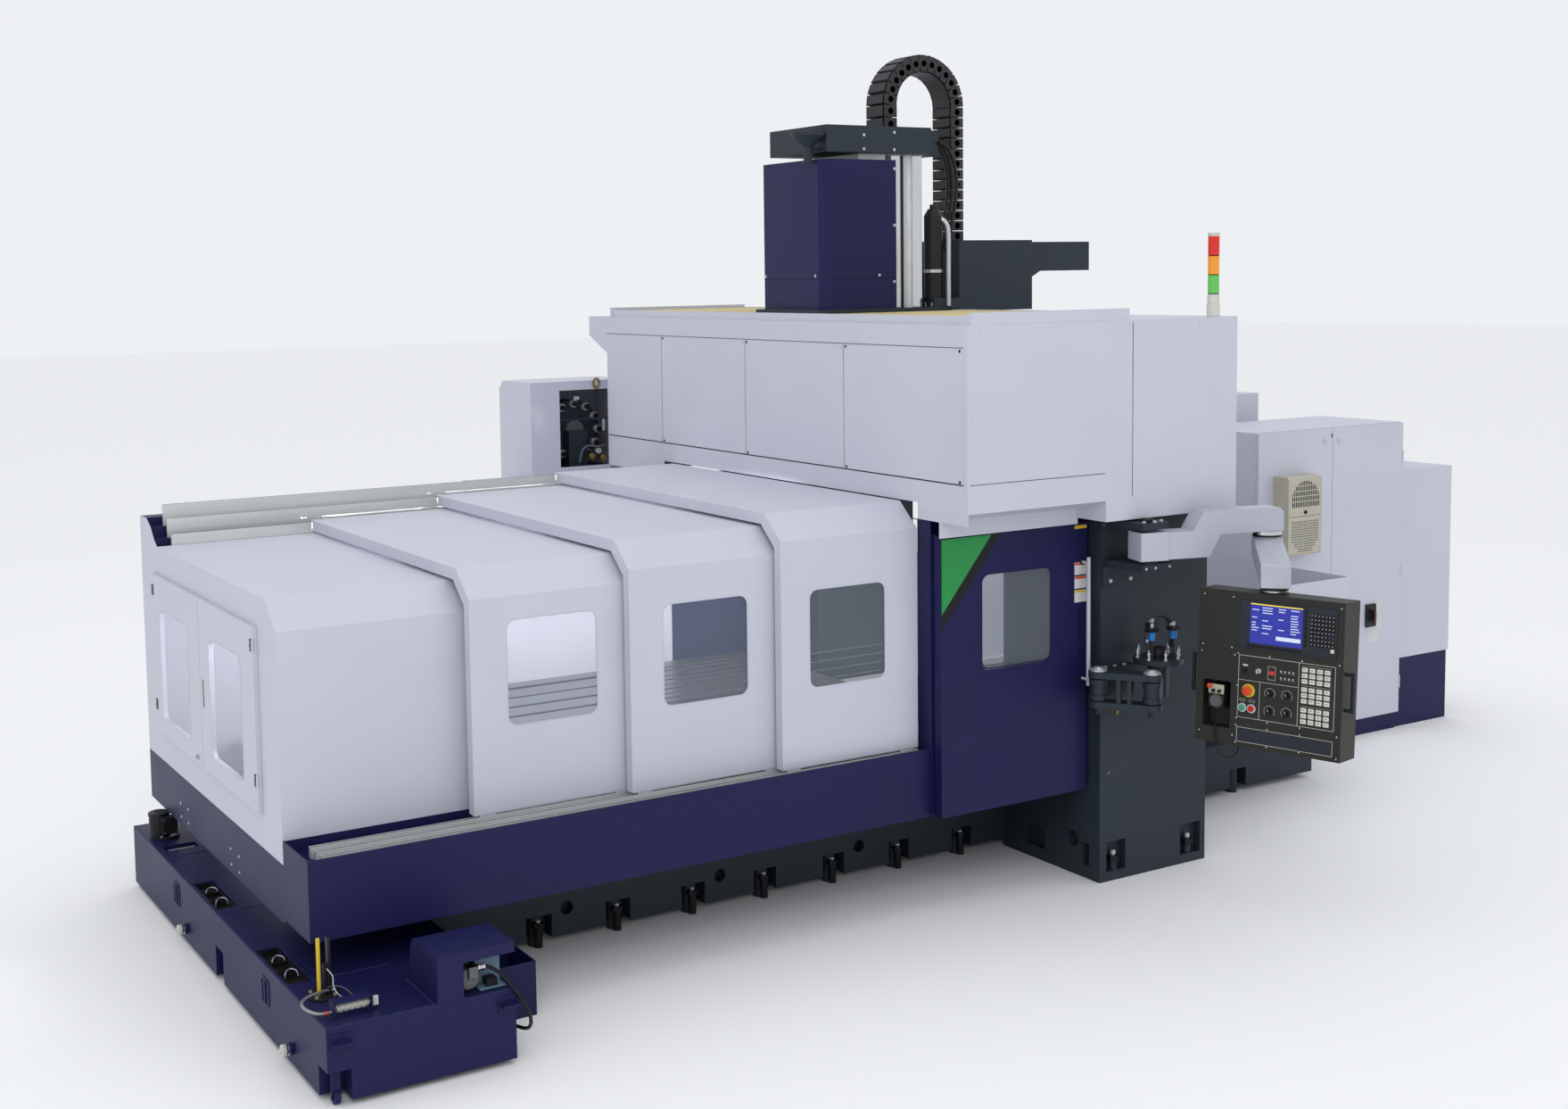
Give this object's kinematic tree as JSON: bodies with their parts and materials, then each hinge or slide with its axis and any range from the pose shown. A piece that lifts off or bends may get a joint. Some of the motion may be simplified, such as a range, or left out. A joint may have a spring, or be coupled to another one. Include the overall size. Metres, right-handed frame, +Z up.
{
  "type": "double column bridge mill",
  "caption": "Bridge milling machine: travelling table between twin columns, cross-sliding head, telescoping guard hoods, swing-arm control panel, tool magazine, tank and cabinets.",
  "frame": {"origin": "on the floor, middle of the bed's centre foot, on the machine's centre line near the portal", "axes": "+Z up, X along the bed and the table's travel, -X the loading end with the end doors, -Y the operator's side"},
  "size_m": [9.1264, 5.6591, 4.5799],
  "materials": {
    "casting_paint": "satin grey-blue casting paint",
    "white_sheet": "satin white sheet paint",
    "blue_sheet": "satin dark blue sheet paint",
    "guide_steel": "ground steel",
    "table_iron": "machined iron",
    "slat_cream": "cream slats",
    "dark_plastic": "matt black",
    "chain_plastic": "dark grey",
    "pendant_paint": "dark olive grey",
    "screen": "dark glossy",
    "window": "clear",
    "cooler_paint": "satin beige",
    "arm_silver": "satin light grey-blue",
    "hose_braid": "braided steel",
    "lamp_plastic": "light"
  },
  "bodies": {
    "machine": {"bed": "casting_paint", "guide_rails": "guide_steel", "column_near": "casting_paint", "column_far": "casting_paint", "crossbeam": "casting_paint", "beam_cover": "white_sheet", "slat_cover_near": "slat_cream", "slat_cover_far": "slat_cream", "hood_rails": "guide_steel", "guard_trough": "blue_sheet", "far_wall": "white_sheet", "far_ledge": "blue_sheet", "end_panel": "white_sheet", "door_portal": "blue_sheet", "rear_guard": "white_sheet", "tower_light": "lamp_plastic", "magazine_housing": "white_sheet", "magazine_drum": "casting_paint", "magazine_stand": "white_sheet", "main_cabinet": "white_sheet", "cabinet_plinth": "blue_sheet", "tank": "blue_sheet", "conveyor_hood": "blue_sheet", "chip_bucket": "blue_sheet", "tank_pump": "dark_plastic", "arm_brackets": "casting_paint", "tank_hose": "hose_braid", "conveyor_cable": "dark_plastic"},
    "table": {"table": "table_iron"},
    "hood_1": {"hood_1": "white_sheet", "hood_1_pane": "window"},
    "hood_2": {"hood_2": "white_sheet", "hood_2_pane": "window"},
    "hood_3": {"hood_3": "white_sheet", "hood_3_pane": "window"},
    "operator_door": {"operator_door": "blue_sheet", "door_pane": "window", "door_handle": "guide_steel"},
    "end_door_near": {"end_door_near": "white_sheet", "end_near_pane": "window"},
    "end_door_far": {"end_door_far": "white_sheet", "end_far_pane": "window"},
    "saddle": {"saddle": "casting_paint", "chain_box": "casting_paint", "accumulator": "dark_plastic", "drag_chain": "chain_plastic"},
    "ram": {"ram": "guide_steel", "head_cover": "blue_sheet", "top_plate": "casting_paint"},
    "pendant_arm": {"pendant_arm": "arm_silver"},
    "pendant_arm_2": {"pendant_arm_2": "arm_silver"},
    "pendant": {"pendant": "pendant_paint", "pendant_screen": "screen", "pendant_handles": "dark_plastic", "wheel_cord": "dark_plastic"},
    "swing_link": {"swing_link": "casting_paint"},
    "swing_tray": {"swing_tray": "casting_paint"},
    "cabinet_door_left": {"cabinet_door_left": "white_sheet", "cabinet_cooler": "cooler_paint"},
    "cabinet_door_right": {"cabinet_door_right": "white_sheet"}
  },
  "joints": [
    {"name": "table_x", "type": "slide", "parent": "machine", "child": "table", "axis": [1, 0, 0], "range_m": [0, 3.2]},
    {"name": "hood_1_slide", "type": "slide", "parent": "machine", "child": "hood_1", "axis": [1, 0, 0], "range_m": [-0.78, 0]},
    {"name": "hood_2_slide", "type": "slide", "parent": "machine", "child": "hood_2", "axis": [1, 0, 0], "range_m": [-1.54, 0]},
    {"name": "hood_3_slide", "type": "slide", "parent": "machine", "child": "hood_3", "axis": [1, 0, 0], "range_m": [-2.28, 0]},
    {"name": "operator_door_slide", "type": "slide", "parent": "machine", "child": "operator_door", "axis": [1, 0, 0], "range_m": [-0.93, 0]},
    {"name": "end_door_near_hinge", "type": "hinge", "parent": "machine", "child": "end_door_near", "pos_m": [-3.77, -0.961, 1.342], "axis": [0, 0, 1], "range_deg": [0, 110]},
    {"name": "end_door_far_hinge", "type": "hinge", "parent": "machine", "child": "end_door_far", "pos_m": [-3.77, 0.866, 1.342], "axis": [0, 0, 1], "range_deg": [-110, 0]},
    {"name": "saddle_y", "type": "slide", "parent": "machine", "child": "saddle", "axis": [0, 1, 0], "range_m": [-0.8, 1], "deforming": ["slat_cover_near", "slat_cover_far"]},
    {"name": "ram_z", "type": "slide", "parent": "saddle", "child": "ram", "axis": [0, 0, 1], "range_m": [-0.8, 0], "deforming": ["drag_chain"]},
    {"name": "pendant_arm_pivot", "type": "hinge", "parent": "machine", "child": "pendant_arm", "pos_m": [0.69, -1.95, 1.75], "axis": [0, 0, 1], "range_deg": [-50, 0]},
    {"name": "pendant_elbow", "type": "hinge", "parent": "pendant_arm", "child": "pendant_arm_2", "pos_m": [1.38, -2.14, 1.92], "axis": [0, 0, 1], "range_deg": [0, 60]},
    {"name": "pendant_turn", "type": "hinge", "parent": "pendant_arm_2", "child": "pendant", "pos_m": [1.05, -2.491, 1.72], "axis": [0, 0, 1], "range_deg": [-30, 45]},
    {"name": "swing_link_pivot", "type": "hinge", "parent": "machine", "child": "swing_link", "pos_m": [0.5, -1.8, 1.09], "axis": [0, 0, 1], "range_deg": [-10, 0]},
    {"name": "swing_tray_pivot", "type": "hinge", "parent": "swing_link", "child": "swing_tray", "pos_m": [0.67, -2.02, 1.09], "axis": [0, 0, 1], "range_deg": [-6, 8]},
    {"name": "cabinet_door_left_hinge", "type": "hinge", "parent": "machine", "child": "cabinet_door_left", "pos_m": [3.193, -0.43, 1.16], "axis": [0, 0, 1], "range_deg": [-90, 0]},
    {"name": "cabinet_door_right_hinge", "type": "hinge", "parent": "machine", "child": "cabinet_door_right", "pos_m": [4.637, -0.43, 1.16], "axis": [0, 0, 1], "range_deg": [0, 110]}
  ]
}
